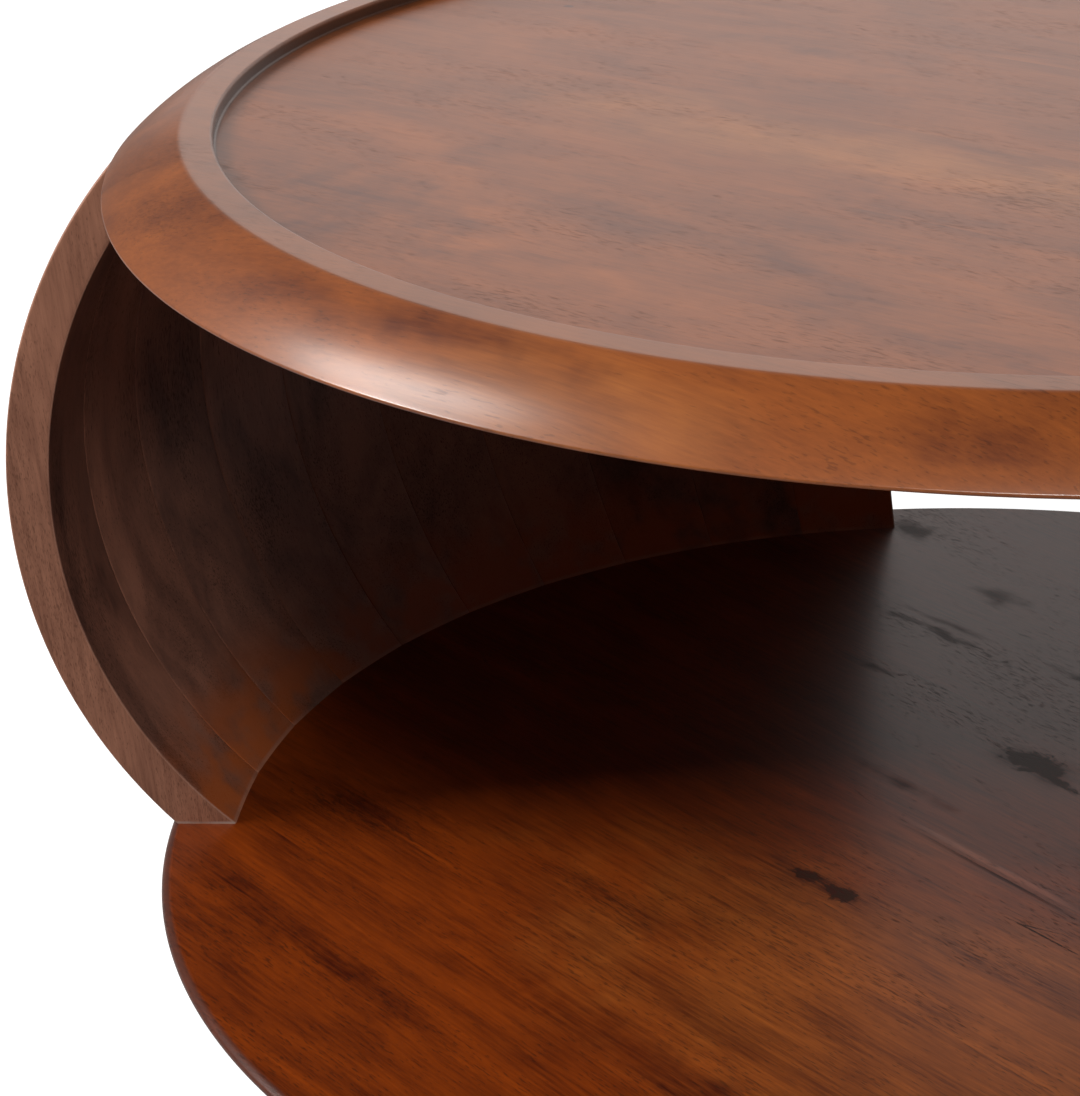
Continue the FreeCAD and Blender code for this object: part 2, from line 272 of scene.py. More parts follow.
def sawn_out(shape, low, high, turn):
    """The part of the disc between two joints. Its sawn faces have material index 1."""
    board = shape.copy()
    across = Vector((-math.sin(turn), math.cos(turn), 0))
    for offset, side in ((low, -1), (high, 1)):
        if offset is None:
            continue
        everything = board.verts[:] + board.edges[:] + board.faces[:]
        cut = bmesh.ops.bisect_plane(board, geom=everything, dist=WELD, plane_co=across * offset,
                                     plane_no=across * side, clear_outer=True)
        rim = [item for item in cut["geom_cut"] if isinstance(item, bmesh.types.BMEdge)]
        filled = bmesh.ops.contextual_create(board, geom=rim)
        for face in filled["faces"]:
            face.material_index = 1
    return board


def board_mesh(name, whole, low, high, turn):
    """One board of the disc, with the disc's exact normals on all but its sawn faces."""
    shape = sawn_out(whole, low, high, turn)
    layer = shape.verts.layers.float_vector["true_normal"]
    normals = []
    for face in shape.faces:
        if face.material_index == 1:
            normals += [face.normal.copy() for _ in face.verts]
        else:
            normals += [Vector(vert[layer]).normalized() for vert in face.verts]
        face.material_index = 0
        face.smooth = True
    mesh = bpy.data.meshes.new(name)
    shape.to_mesh(mesh)
    shape.free()
    mesh.attributes.remove(mesh.attributes["true_normal"])
    mesh.normals_split_custom_set(normals)
    return mesh


def board_growths(piths, under):
    """For each board its pith across and up, the pith's lean, and where its grain starts."""
    return [((pith + rng.uniform(*PITH_STRAY), under - rng.uniform(*PITH_DEPTH)),
             (rng.uniform(*LEAN_ACROSS), rng.uniform(*LEAN_UP)), rng.uniform(*GRAIN_START)) for pith in piths]


def boards(kind, outline, radius, seams, turn_degrees, growths, material):
    """The boards of one disc. Each point keeps its place in the grain of its own board
    and its lay: how far along and across the boards it is, and how high."""
    turn = math.radians(turn_degrees)
    whole = disc(outline)
    edges = [None] + [share * radius for share in seams] + [None]
    for number, (low, high, growth) in enumerate(zip(edges, edges[1:], growths), start=1):
        name = f"{kind}_board_{number}_turned"
        mesh = board_mesh(name, whole, low, high, turn)
        pith, lean, start = growth
        grain, lay = [], []
        for vert in mesh.vertices:
            along = vert.co.x * math.cos(turn) + vert.co.y * math.sin(turn)
            across = -vert.co.x * math.sin(turn) + vert.co.y * math.cos(turn)
            grain.append((along + start, across - pith[0] - lean[0] * along,
                          vert.co.z - pith[1] - lean[1] * along))
            lay.append((along, across, vert.co.z))
        store(mesh, "grain", grain)
        store(mesh, "lay", lay)
        mesh.materials.append(material)
        new_piece(name, mesh, [f"{kind}_board_{number}"])
    whole.free()


# The walls

# A stave is flat across outside, so these points lie at the middle of the flat
FLAT_SHARE = math.cos(math.radians(STAVE_ANGLE / 2))
WALL_FOOT = (BASE_FACE_RADIUS * FLAT_SHARE, SHELF)
WALL_BELLY = ((TOP_RADIUS + BELLY_SWELL) * FLAT_SHARE, SHELF + BELLY_HEIGHT)
WALL_HEAD = ((TOP_RADIUS - HEAD_SETBACK) * FLAT_SHARE, TOP_UNDER)
ARC_OUT, ARC_UP, OUTER_ARC = circle_through(WALL_FOOT, WALL_BELLY, WALL_HEAD)
INNER_ARC = OUTER_ARC - WALL_THICK

# The materials of a stave, in the order of its slots
INSIDE, CUT, PAINTED_HIGHLIGHT_EDGE, OUTSIDE = range(4)
# How squarely a face looks sideways or outwards to count as one of them
TURNED_AWAY = 0.25
SQUARE_ON = 0.9


def stave_section(inner, outer, exposed):
    """One level slice of a stave: its corners softened and its inside a little hollow,
    turning left from above. exposed is -1 or 1 for the side that stands free at a
    wall's end, or 0."""
    slope = math.tan(math.radians(STAVE_ANGLE / 2))

    def inside(share):
        return (inner + HOLLOW * (1 - share * share), share * inner * slope)

    def side(share, radius):
        return (radius, share * radius * slope)

    close = SHARE_DEEP * (outer - inner)
    near_inside = [inside(-share) for share in SHARES_ACROSS]
    near_side = [side(-1, radius) for radius in (inner, inner + close, outer - close, outer)]
    outside = [side(share, outer) for share in (-SHARES_ACROSS[-1], 0, SHARES_ACROSS[-1])]
    far_side = [side(1, radius) for radius in (outer, outer - close, inner + close, inner)]
    far_inside = [inside(share) for share in reversed(SHARES_ACROSS)]
    points = [inside(0), *near_inside, *near_side, *outside, *far_side, *far_inside, inside(0)]
    free, glued = (FREE_ROUND, FREE_ROUND), (GLUED_INNER_ROUND, GLUED_OUTER_ROUND)
    near, far = free if exposed < 0 else glued, free if exposed > 0 else glued
    first = 1 + len(near_inside)
    second = first + len(near_side) + len(outside)
    rounds = {first: near[0], first + 3: near[1], second: far[1], second + 3: far[0]}
    return rounded(points, rounds, STAVE_ROUND_STEPS)[:-1]


def stave_mesh(name, exposed):
    """A curved stave as a closed mesh, its finishes chosen by where its faces look."""
    sections = []
    for step in range(STAVE_STEPS + 1):
        height = SHELF + WALL_HEIGHT * step / STAVE_STEPS
        lift = height - ARC_UP
        inner = ARC_OUT + math.sqrt(INNER_ARC ** 2 - lift ** 2)
        outer = ARC_OUT + math.sqrt(OUTER_ARC ** 2 - lift ** 2)
        sections.append([(point.x, point.y, height) for point in stave_section(inner, outer, exposed)])
    count = len(sections[0])
    faces = []
    for level in range(STAVE_STEPS):
        for place in range(count):
            after = (place + 1) % count
            low, high = level * count, (level + 1) * count
            faces.append((low + place, low + after, high + after, high + place))
    ends = [tuple(reversed(range(count))), tuple(range(STAVE_STEPS * count, (STAVE_STEPS + 1) * count))]
    mesh = bpy.data.meshes.new(name)
    mesh.from_pydata([vert for section in sections for vert in section], [], faces + ends)
    for material in stave_woods:
        mesh.materials.append(material)
    for polygon in mesh.polygons:
        polygon.use_smooth = True
    for polygon in mesh.polygons[:len(faces)]:
        side = polygon.normal.y * exposed
        if side > TURNED_AWAY:
            # Square faces at a free end get the cut wood, and half-turned ones, the rounded edges, a painted
            # highlight
            polygon.material_index = CUT if side > SQUARE_ON else PAINTED_HIGHLIGHT_EDGE
        elif polygon.normal.x > TURNED_AWAY:
            polygon.material_index = OUTSIDE
    mesh.validate()
    return mesh


def stave(label, angle, exposed):
    """One stave of a wall, with its own grain. Its lay is its own tone, the place across
    and the height."""
    start = rng.uniform(*STAVE_GRAIN_START)
    name = f"{label}_shaped"
    mesh = stave_mesh(name, exposed)
    pith = (rng.uniform(*STAVE_PITH_ACROSS), rng.uniform(*STAVE_PITH_OUT))
    lean = (rng.uniform(*STAVE_LEAN_ACROSS), rng.uniform(*STAVE_LEAN_OUT))
    own_tone = rng.uniform(*STAVE_TONE)
    grain, lay = [], []
    for vert in mesh.vertices:
        along = vert.co.z
        grain.append((along + start, vert.co.y - pith[0] - lean[0] * along,
                      vert.co.x - ARC_OUT - INNER_ARC - pith[1] - lean[1] * along))
        lay.append((own_tone, vert.co.y, vert.co.z))
    store(mesh, "grain", grain)
    store(mesh, "lay", lay)
    mesh.transform(Matrix.Rotation(math.radians(angle), 4, "Z"))
    mesh.set_sharp_from_angle(angle=FACET)
    new_piece(name, mesh, [label])


# Shader helpers


def put(tree, kind, settings=None, **inputs):
    """Adds a node. Each input is named, or counted as i0, i1 and so on, and gets a
    socket to link or a value to set."""
    node = tree.nodes.new(kind)
    for word, value in (settings or {}).items():
        setattr(node, word, value)
    for word, value in inputs.items():
        counted = word[0] == "i" and word[1:].isdigit()
        socket = node.inputs[int(word[1:]) if counted else word.replace("_", " ")]
        if isinstance(value, bpy.types.NodeSocket):
            tree.links.new(value, socket)
        else:
            socket.default_value = value
    return node


def worked(tree, kind, a, b=0.0, c=0.0, clamp=False):
    """The result of one step of arithmetic."""
    return put(tree, "ShaderNodeMath", {"operation": kind, "use_clamp": clamp}, i0=a, i1=b, i2=c).outputs[0]


def times(tree, a, b, clamp=False):
    return worked(tree, "MULTIPLY", a, b, clamp=clamp)


def times_plus(tree, a, b, c, clamp=False):
    """a times b, and c added."""
    return worked(tree, "MULTIPLY_ADD", a, b, c, clamp)


def minus(tree, a, b):
    return worked(tree, "SUBTRACT", a, b)


def vector_worked(tree, kind, a, b):
    """The result of one step of arithmetic on vectors."""
    return put(tree, "ShaderNodeVectorMath", {"operation": kind}, i0=a, i1=b).outputs[0]


def stretched(tree, vector, factor):
    return put(tree, "ShaderNodeVectorMath", {"operation": "SCALE"}, i0=vector, Scale=factor).outputs[0]


def length_of(tree, vector):
    return put(tree, "ShaderNodeVectorMath", {"operation": "LENGTH"}, i0=vector).outputs["Value"]


def spread(tree, value, low, high, to_low=0.0, to_high=1.0):
    """The value taken from one range to another, without overshoot and eased."""
    return put(tree, "ShaderNodeMapRange", {"interpolation_type": "SMOOTHSTEP"},
               Value=value, From_Min=low, From_Max=high, To_Min=to_low, To_Max=to_high).outputs["Result"]


def grained(tree, grain, along, across, detail=1.0, roughness=0.5, distortion=0.0):
    """Noise with so many changes in a metre along the grain and across it."""
    place = vector_worked(tree, "MULTIPLY", grain, (along, across, across))
    return put(tree, "ShaderNodeTexNoise", {"noise_dimensions": "3D"}, Vector=place, Scale=1.0,
               Detail=detail, Roughness=roughness, Distortion=distortion).outputs[0]


def mixed(tree, share, a, b):
    """Colour a with this share of colour b."""
    return put(tree, "ShaderNodeMix", {"data_type": "RGBA", "clamp_factor": True},
               i0=share, i6=a, i7=b).outputs[2]


def attribute(tree, name):
    settings = {"attribute_type": "GEOMETRY", "attribute_name": name}
    return put(tree, "ShaderNodeAttribute", settings).outputs["Vector"]


def new_group(name, inputs, outputs):
    """A node group with these inputs, as (name, kind, value), and outputs, as (name, kind)."""
    group = bpy.data.node_groups.new(name, "ShaderNodeTree")
    for word, kind, value in inputs:
        socket = group.interface.new_socket(name=word, in_out="INPUT", socket_type=f"NodeSocket{kind}")
        if value is not None:
            socket.default_value = value
    for word, kind in outputs:
        group.interface.new_socket(name=word, in_out="OUTPUT", socket_type=f"NodeSocket{kind}")
    return group, group.nodes.new("NodeGroupInput").outputs, group.nodes.new("NodeGroupOutput").inputs


# Shader groups that all the woods share

PORE_COLOUR = (0.010, 0.004, 0.002, 1)
# Every noise lies round this value
MIDDLE = 0.5
# How far a ripple bends the rings, and between which noise values they grow from faint
# to strong
RIPPLE_REACH = 0.004
FADE_NOISE = (0.3, 0.7)
FADE_STRENGTH = (0.2, 1.7)
# Pores are the flecks over a limit, which is lower where the pores crowd
PORE_LIMIT = 0.84
PORE_CROWDING = 0.45
PORE_STEEPNESS = 9.0


def ring_figure(group, grain, pitch, wander):
    """Growth rings round the pith, bent by a slow wave and a ripple, and fading in places."""
    parts = put(group, "ShaderNodeSeparateXYZ", Vector=grain).outputs
    squares = [times(group, part, part) for part in (parts[1], parts[2])]
    reach = worked(group, "SQRT", worked(group, "ADD", *squares))
    slow = grained(group, grain, along=2.6, across=11.0, roughness=0.45)
    ripple = grained(group, grain, along=16.0, across=60.0)
    bend = times(group, minus(group, slow, MIDDLE), wander)
    bend = times_plus(group, minus(group, ripple, MIDDLE), RIPPLE_REACH, bend)
    phase = worked(group, "DIVIDE", worked(group, "ADD", reach, bend), pitch)
    rings = put(group, "ShaderNodeTexNoise", {"noise_dimensions": "1D"}, W=phase, Scale=1.0, Detail=2.0,
                Roughness=0.5).outputs[0]
    fade = spread(group, grained(group, grain, along=7.0, across=22.0), *FADE_NOISE, *FADE_STRENGTH)
    return times_plus(group, minus(group, rings, MIDDLE), fade, MIDDLE)


def pore_figure(group, grain, fineness):
    """Short dark pores along the grain, close together in some places and rare in others."""
    flecks = grained(group, stretched(group, grain, fineness), along=150.0, across=950.0)
    crowd = grained(group, grain, along=7.0, across=26.0)
    limit = times_plus(group, crowd, -PORE_CROWDING, PORE_LIMIT)
    return times(group, minus(group, flecks, limit), PORE_STEEPNESS, clamp=True)


def figure_group():
    """Growth rings, streaks, fibres, pores and slow changes of tone, all in the solid wood."""
    group, given, wanted = new_group(
        "wood_figure",
        [("Grain", "Vector", None), ("Pitch", "Float", 0.008), ("Wander", "Float", 0.012),
         ("Fineness", "Float", 1.0)],
        [("Rings", "Float"), ("Streaks", "Float"), ("Fibre", "Float"), ("Pores", "Float"),
         ("Cloud", "Float")])
    grain = given["Grain"]
    figure = {
        "Rings": ring_figure(group, grain, given["Pitch"], given["Wander"]),
        "Streaks": grained(group, grain, along=11.0, across=120.0, detail=2.0, roughness=0.6, distortion=0.3),
        "Fibre": grained(group, grain, along=30.0, across=560.0, detail=3.0, roughness=0.65),
        "Pores": pore_figure(group, grain, given["Fineness"]),
        "Cloud": grained(group, grain, along=9.0, across=19.0, detail=3.0, roughness=0.55, distortion=1.0)}
    for word, value in figure.items():
        group.links.new(value, wanted[word])
    return group


def tone_group():
    """The stained wood's colour from its figure, between a dark and a light tone."""
    group, given, wanted = new_group(
        "wood_tone",
        [("Rings", "Float", 0.5), ("Streaks", "Float", 0.5), ("Fibre", "Float", 0.5), ("Cloud", "Float", 0.5),
         ("Dots", "Float", 0.0), ("Shade", "Float", 0.0), ("Dark", "Color", None), ("Light", "Color", None),
         ("Ring amount", "Float", 0.5), ("Streak amount", "Float", 0.5), ("Fibre amount", "Float", 0.5),
         ("Cloud amount", "Float", 0.5), ("Dot amount", "Float", 0.5)],
        [("Colour", "Color")])
    tone = worked(group, "ADD", MIDDLE, given["Shade"])
    for word, amount in (("Rings", "Ring amount"), ("Streaks", "Streak amount"), ("Fibre", "Fibre amount"),
                         ("Cloud", "Cloud amount")):
        part = minus(group, given[word], MIDDLE)
        tone = times_plus(group, part, given[amount], tone, clamp=word == "Cloud")
    colour = mixed(group, tone, given["Dark"], given["Light"])
    dots = times(group, given["Dots"], given["Dot amount"])
    group.links.new(mixed(group, dots, colour, PORE_COLOUR), wanted["Colour"])
    return group


def mark_group():
    """A spot or streak on a board, 1 inside and 0 outside, with a soft and uneven edge."""
    group, given, wanted = new_group(
        "board_mark",
        [("Place", "Vector", None), ("Bend", "Vector", None), ("Centre", "Vector", None),
         ("Size", "Vector", None), ("Turn", "Float", 0.0), ("Uneven", "Float", 0.3), ("Core", "Float", 0.3)],
        [("Mask", "Float")])
    away = vector_worked(group, "SUBTRACT", given["Place"], given["Centre"])
    turned = put(group, "ShaderNodeVectorRotate", {"rotation_type": "Z_AXIS"}, Vector=away,
                 Angle=given["Turn"]).outputs[0]
    shape = vector_worked(group, "DIVIDE", turned, given["Size"])
    bent = vector_worked(group, "ADD", shape, stretched(group, given["Bend"], given["Uneven"]))
    mask = minus(group, 1.0, spread(group, length_of(group, bent), given["Core"], 1.0))
    group.links.new(mask, wanted["Mask"])
    return group


figure_nodes = figure_group()
tone_nodes = tone_group()
mark_nodes = mark_group()


# Marks on the boards. Each has its middle along and across the boards, half its length
# and width, its turn in degrees, its unevenness, the share of it that is full, and its
# strength. Shades lighten the wood, or darken it where the strength is below 0.

TOP_MARKS_AND_PAINTED_SHADE = (
    (-0.175, -0.305, 0.110, 0.060, -12, 1.9, 0.0, -0.34),
    (-0.150, -0.252, 0.085, 0.022, -30, 1.7, 0.0, 0.30),
    (-0.088, -0.325, 0.050, 0.024, 80, 1.7, 0.0, 0.30),
    (-0.225, -0.206, 0.080, 0.026, -20, 1.7, 0.0, 0.24),
    (-0.060, -0.250, 0.090, 0.034, -35, 1.9, 0.0, -0.22),
    (0.013, -0.215, 0.100, 0.030, -10, 1.9, 0.0, -0.22),
    (0.060, -0.175, 0.090, 0.020, 0, 1.9, 0.0, -0.24),
    (-0.142, 0.030, 0.050, 0.010, -10, 1.9, 0.0, -0.36),
    (-0.150, 0.004, 0.220, 0.050, 3, 1.7, 0.0, 0.20),
    (-0.300, -0.045, 0.080, 0.040, 0, 1.7, 0.0, 0.16),
    # The rows at about -0.41 across lie on the rim: painted shade, and one painted lighter patch, where the
    # rim reflects dark and bright surroundings
    (-0.015, -0.413, 0.110, 0.012, 2, 1.6, 0.0, -0.34),
    (-0.110, -0.405, 0.060, 0.013, 0, 1.5, 0.0, -0.25),
    (0.205, -0.382, 0.060, 0.024, 16, 1.6, 0.0, -0.32),
    (0.068, -0.413, 0.025, 0.014, 0, 1.6, 0.0, 0.15),
    (-0.262, -0.330, 0.030, 0.020, 40, 1.6, 0.0, 0.20),
    (-0.050, -0.120, 0.240, 0.050, 3, 1.5, 0.0, 0.26),
    (0.030, -0.262, 0.090, 0.020, -16, 1.9, 0.0, -0.22),
    (0.140, -0.312, 0.080, 0.016, 4, 1.9, 0.0, -0.28),
    (0.000, -0.325, 0.120, 0.026, -4, 1.9, 0.0, 0.22),
    (-0.313, 0.036, 0.004, 0.003, 0, 0.4, 0.3, -0.60),
)
TOP_GOLD = (
    (-0.030, -0.110, 0.280, 0.060, 3, 1.2, 0.2, 1.0),
    (0.050, -0.425, 0.100, 0.030, 4, 1.2, 0.2, 0.7),
)
BASE_SHADES = (
    (-0.177, -0.252, 0.070, 0.0022, 0, 0.6, 0.1, 0.34),
    (0.026, -0.0375, 0.090, 0.0032, -1, 0.5, 0.2, 0.40),
    (0.035, -0.0440, 0.085, 0.0020, -1, 0.6, 0.1, -0.36),
    (-0.205, 0.139, 0.060, 0.0060, 1, 2.2, 0.0, -0.50),
    (-0.200, 0.152, 0.050, 0.0050, 2, 2.2, 0.0, -0.40),
    (-0.100, 0.157, 0.034, 0.0050, 0, 2.0, 0.0, -0.50),
    (-0.192, 0.077, 0.030, 0.005, 2, 2.0, 0.0, -0.40),
    (-0.060, -0.010, 0.060, 0.008, 0, 2.2, 0.0, -0.45),
    (-0.130, -0.352, 0.120, 0.018, 0, 1.6, 0.0, -0.36),
    (0.020, -0.290, 0.170, 0.020, 2, 1.6, 0.0, -0.38),
    (-0.060, -0.322, 0.120, 0.012, 1, 1.6, 0.0, 0.20),
    (-0.041, 0.059, 0.040, 0.024, 0, 1.4, 0.1, -0.34),
    (-0.013, -0.117, 0.030, 0.010, 0, 1.0, 0.2, -0.28),
    (-0.211, 0.199, 0.024, 0.016, 0, 1.8, 0.1, -0.42),
    (-0.325, 0.233, 0.022, 0.016, 0, 1.8, 0.1, -0.50),
)
BASE_GOLD = (
    (0.120, -0.170, 0.300, 0.180, 0, 0.8, 0.3, 1.0),
)
BASE_KNOTS = (
    (-0.044, 0.060, 0.022, 0.0140, 8, 1.6, 0.4, 1.7),
    (-0.020, 0.054, 0.024, 0.0045, -8, 1.5, 0.2, 1.3),
    (-0.026, -0.117, 0.013, 0.0055, 5, 1.5, 0.4, 1.6),
    (-0.002, -0.117, 0.014, 0.0080, -5, 1.5, 0.4, 1.6),
    (-0.325, 0.233, 0.010, 0.005, 0, 1.2, 0.2, 1.0),
)
BASE_CRACKS = (
    (0.095, -0.0695, 0.028, 0.0009, 0, 0.4, 0.4, 1.8),
    (0.086, -0.0660, 0.014, 0.0007, 22, 0.4, 0.4, 1.4),
    (0.030, -0.0430, 0.080, 0.0006, -1, 0.5, 0.3, 0.8),
)


# Steps of a wood material

Wood = namedtuple("Wood", "material tree grain place own_tone height upper figure")
# How strongly each part of the figure shows
Amounts = namedtuple("Amounts", "rings streaks fibre cloud dots")
Lacquer = namedtuple("Lacquer", "coat coat_roughness roughness bump")
PORE_DEPTH = 0.00012

# How much pores, knots and shades dull the lacquer, how much knots shade the wood round
# them, and how much a stave's own tone shades it
PORE_DULLING = 0.35
KNOT_DULLING = 0.55
SHADE_DULLING = 1.3
KNOT_SHADING = 0.22
OWN_TONE_SHADING = 0.6

# Over what height the marks of a board's upper side begin, and over which radii a tinted
# ring begins and ends, from its own edge
FACE_BLUR = 0.004
RING_BEGINS = (-0.001, 0.0005)
RING_ENDS = (-0.003, 0.0015)

# How uneven the edges of marks are, in changes in a metre
SHADE_CRUMPLE = 26.0
GOLD_CRUMPLE = 12.0
KNOT_CRUMPLE = 140.0


def new_wood(name, pitch, wander, fineness=1.0, face=0.0):
    """A wood with its figure but no colour yet. Marks only show above the height of face."""
    material = bpy.data.materials.new(name)
    material.use_nodes = True
    tree = material.node_tree
    tree.nodes.clear()
    grain, lay = attribute(tree, "grain"), attribute(tree, "lay")
    parts = put(tree, "ShaderNodeSeparateXYZ", Vector=lay).outputs
    figure = put(tree, "ShaderNodeGroup", {"node_tree": figure_nodes}, Grain=grain, Pitch=pitch,
                 Wander=wander, Fineness=fineness).outputs
    return Wood(material, tree, grain, place=vector_worked(tree, "MULTIPLY", lay, (1, 1, 0)),
                own_tone=parts[0], height=parts[2], upper=spread(tree, parts[2], face, face + FACE_BLUR),
                figure=figure)


def marks(wood, spots, crumple):
    """The sum of these spots and streaks, with uneven edges."""
    tree = wood.tree
    shifts = put(tree, "ShaderNodeTexNoise", {"noise_dimensions": "2D"}, Vector=wood.place, Scale=crumple,
                 Detail=3.0, Roughness=0.6).outputs[1]
    bend = vector_worked(tree, "SUBTRACT", shifts, (MIDDLE, MIDDLE, MIDDLE))
    total = 0.0
    for along, across, length, width, turn, ragged, core, strength in spots:
        mask = put(tree, "ShaderNodeGroup", {"node_tree": mark_nodes}, Place=wood.place, Bend=bend,
                   Centre=(along, across, 0), Turn=-math.radians(turn), Size=(length, width, 1),
                   Uneven=ragged, Core=core).outputs[0]
        total = times_plus(tree, mask, strength, total)
    return total


def upper_marks(wood, spots, crumple):
    return times(wood.tree, wood.upper, marks(wood, spots, crumple))


def stained(wood, dark, light, amounts, shade, dots):
    """The wood's colour. dots are its pores and whatever else is as dark."""
    return put(wood.tree, "ShaderNodeGroup", {"node_tree": tone_nodes}, Rings=wood.figure["Rings"],
               Streaks=wood.figure["Streaks"], Fibre=wood.figure["Fibre"], Cloud=wood.figure["Cloud"],
               Dots=dots, Shade=shade, Dark=dark, Light=light, Ring_amount=amounts.rings,
               Streak_amount=amounts.streaks, Fibre_amount=amounts.fibre, Cloud_amount=amounts.cloud,
               Dot_amount=amounts.dots).outputs["Colour"]


def ringed(wood, colour, inner, outer, tint, amount):
    """The colour with a tinted ring between two radii, on the upper side."""
    tree = wood.tree
    reach = length_of(tree, wood.place)
    inside = spread(tree, reach, inner + RING_BEGINS[0], inner + RING_BEGINS[1])
    outside = spread(tree, reach, outer + RING_ENDS[0], outer + RING_ENDS[1], amount, 0.0)
    ring = times(tree, inside, outside)
    return mixed(tree, times(tree, ring, wood.upper), colour, tint)


def thin_at_pores(wood, coat):
    """The weight of the lacquer, which is thinner over the pores."""
    return times_plus(wood.tree, wood.figure["Pores"], -PORE_DULLING, coat, clamp=True)


def lacquered(wood, colour, gloss, lacquer):
    """The finished material, with the pores a little sunk."""
    tree = wood.tree
    height = minus(tree, 1.0, wood.figure["Pores"])
    dent = put(tree, "ShaderNodeBump", Strength=lacquer.bump, Distance=PORE_DEPTH,
               Height=height).outputs["Normal"]
    surface = put(tree, "ShaderNodeBsdfPrincipled", Base_Color=colour, Roughness=lacquer.roughness, IOR=1.5,
                  Normal=dent, Coat_Weight=gloss, Coat_Roughness=lacquer.coat_roughness, Coat_IOR=1.5,
                  Specular_IOR_Level=0.3)
    put(tree, "ShaderNodeOutputMaterial", Surface=surface.outputs[0])
    return wood.material


# The woods

TOP_DARK = (0.100, 0.021, 0.005, 1)
TOP_LIGHT = (0.38, 0.103, 0.015, 1)
TOP_GOLDEN = (0.43, 0.145, 0.030, 1)
# The pale band: painted reflection of the bright surroundings, with some wear
BAND_SHEEN_AND_WEAR = (0.50, 0.38, 0.32, 1)
# The colour of the painted shade on the recess's step
RECESS_PAINTED_SHADE = (0.020, 0.008, 0.004, 1)
BASE_DARK = (0.042, 0.004, 0.0003, 1)
BASE_LIGHT = (0.262, 0.043, 0.001, 1)
BASE_GOLDEN = (0.34, 0.090, 0.012, 1)
# Painted shade on the base's rounded edge
BASE_RIM_PAINTED_SHADE = (0.03, 0.006, 0.002, 1)
KNOT = (0.030, 0.009, 0.003, 1)
FOOT_ORANGE = (0.40, 0.090, 0.012, 1)
GLUE = (0.42, 0.30, 0.25, 1)

# The painted shade on the step of the recess: where it is full and where it ends, from the recess's
# wall inwards and outwards, and where it is full and ends from the band down
STEP_INWARD = (0.0003, 0.0025)
STEP_OUTWARD = (0.0005, 0.002)
STEP_DOWN = (0.0025, 0.0005)
STEP_SHADE_STRENGTH = 0.75

# Heights over the shelf at which the orange at the foot and the glue on a stave start to fade and end
FOOT_ORANGE_FADE = (0.009, 0.054)
GLUE_FADE = (0.0006, 0.002)

# Heights over which the marks of the top and the base show, and where the painted shade on the base's rounded
# edge lies
TOP_MARKS_FROM = TOP_UNDER + 0.007
BASE_MARKS_FROM = SHELF - 0.011
BASE_RIM_FROM = BASE_FACE_RADIUS - 0.001
BASE_RIM_TO = BASE_RADIUS + 0.010


def painted_shade_step(wood, colour):
    """The colour with painted shade on the wall of the recess, darkest in the corner at its foot."""
    tree = wood.tree
    reach = length_of(tree, wood.place)
    inward = spread(tree, reach, RECESS_RADIUS - STEP_INWARD[1], RECESS_RADIUS - STEP_INWARD[0])
    outward = spread(tree, reach, RECESS_RADIUS + STEP_OUTWARD[0], RECESS_RADIUS + STEP_OUTWARD[1], 1.0, 0.0)
    down = spread(tree, wood.height, TOP_UPPER - STEP_DOWN[0], TOP_UPPER - STEP_DOWN[1], STEP_SHADE_STRENGTH, 0.0)
    corner = times(tree, times(tree, inward, down), outward)
    return mixed(tree, times(tree, corner, wood.upper), colour, RECESS_PAINTED_SHADE)


def top_material():
    """Reddish brown and glossy, with a warmer streak, a pale band of painted reflection and wear, and painted
    shade on the recess's step and the rim.
    """
    wood = new_wood("top_wood", pitch=0.026, wander=0.060, face=TOP_MARKS_FROM)
    amounts = Amounts(rings=0.30, streaks=0.15, fibre=0.55, cloud=1.0, dots=0.32)
    lacquer = Lacquer(coat=1.0, coat_roughness=0.24, roughness=0.45, bump=0.2)
    shade = upper_marks(wood, TOP_MARKS_AND_PAINTED_SHADE, SHADE_CRUMPLE)
    light = mixed(wood.tree, marks(wood, TOP_GOLD, GOLD_CRUMPLE), TOP_LIGHT, TOP_GOLDEN)
    colour = stained(wood, TOP_DARK, light, amounts, shade, wood.figure["Pores"])
    # The pale band is painted reflection with some wear
    colour = ringed(wood, colour, RECESS_RADIUS, BAND_RADIUS, BAND_SHEEN_AND_WEAR, amount=0.22)
    return lacquered(wood, painted_shade_step(wood, colour), thin_at_pores(wood, lacquer.coat), lacquer)


